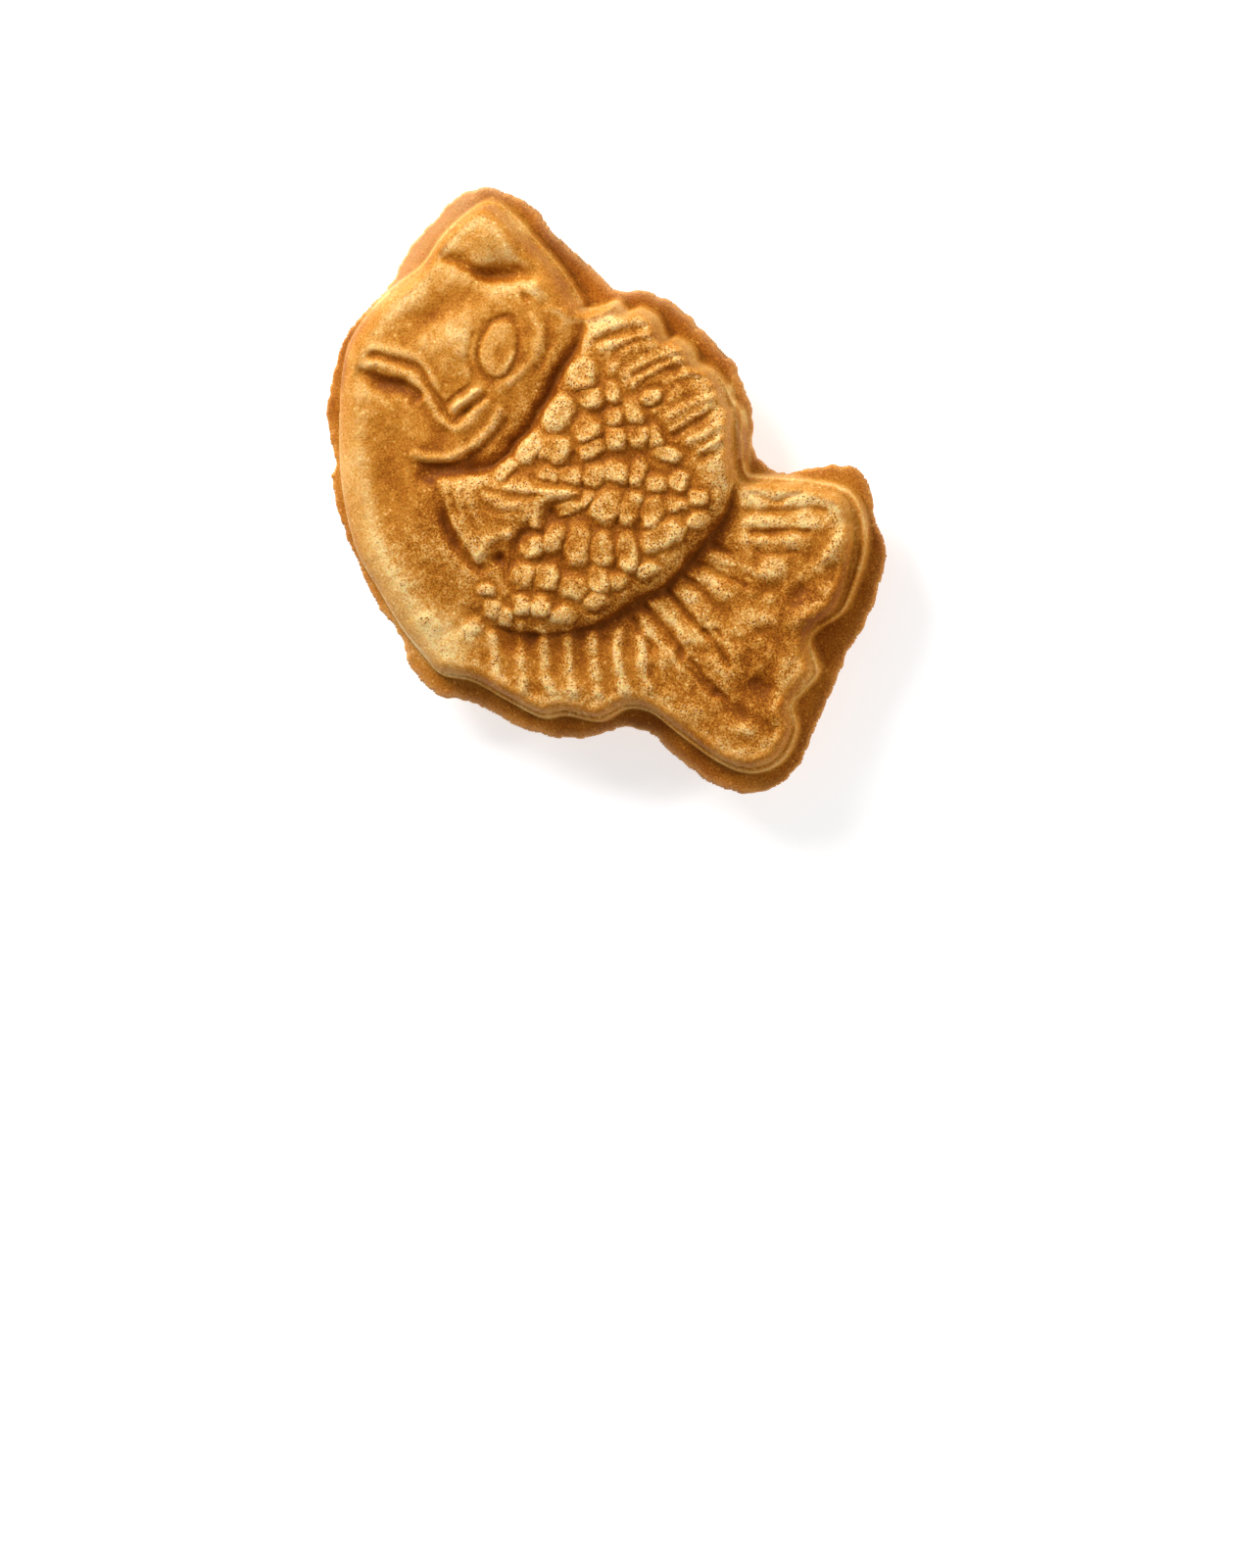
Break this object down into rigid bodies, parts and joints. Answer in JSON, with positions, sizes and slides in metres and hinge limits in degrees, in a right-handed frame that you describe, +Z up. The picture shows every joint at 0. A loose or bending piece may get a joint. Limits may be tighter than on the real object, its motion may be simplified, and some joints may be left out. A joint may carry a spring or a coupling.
{
  "type": "taiyaki",
  "caption": "Fish-shaped filled cake of baked batter with moulded scales, fins and gill cover on both faces and a ragged thin rim along its seam, lying on its side.",
  "frame": {"origin": "under the middle of the cake's bounding box, on the surface that it lies on", "axes": "+X from the head to the tail, +Y to the back fin, +Z up, out of the face that shows"},
  "size_m": [0.108, 0.0778, 0.0205],
  "materials": {
    "baked_crust": "golden-brown baked batter, satin, pale where it is under-baked and dark in the grooves"
  },
  "bodies": {
    "root": {"taiyaki": "baked_crust"}
  },
  "joints": []
}
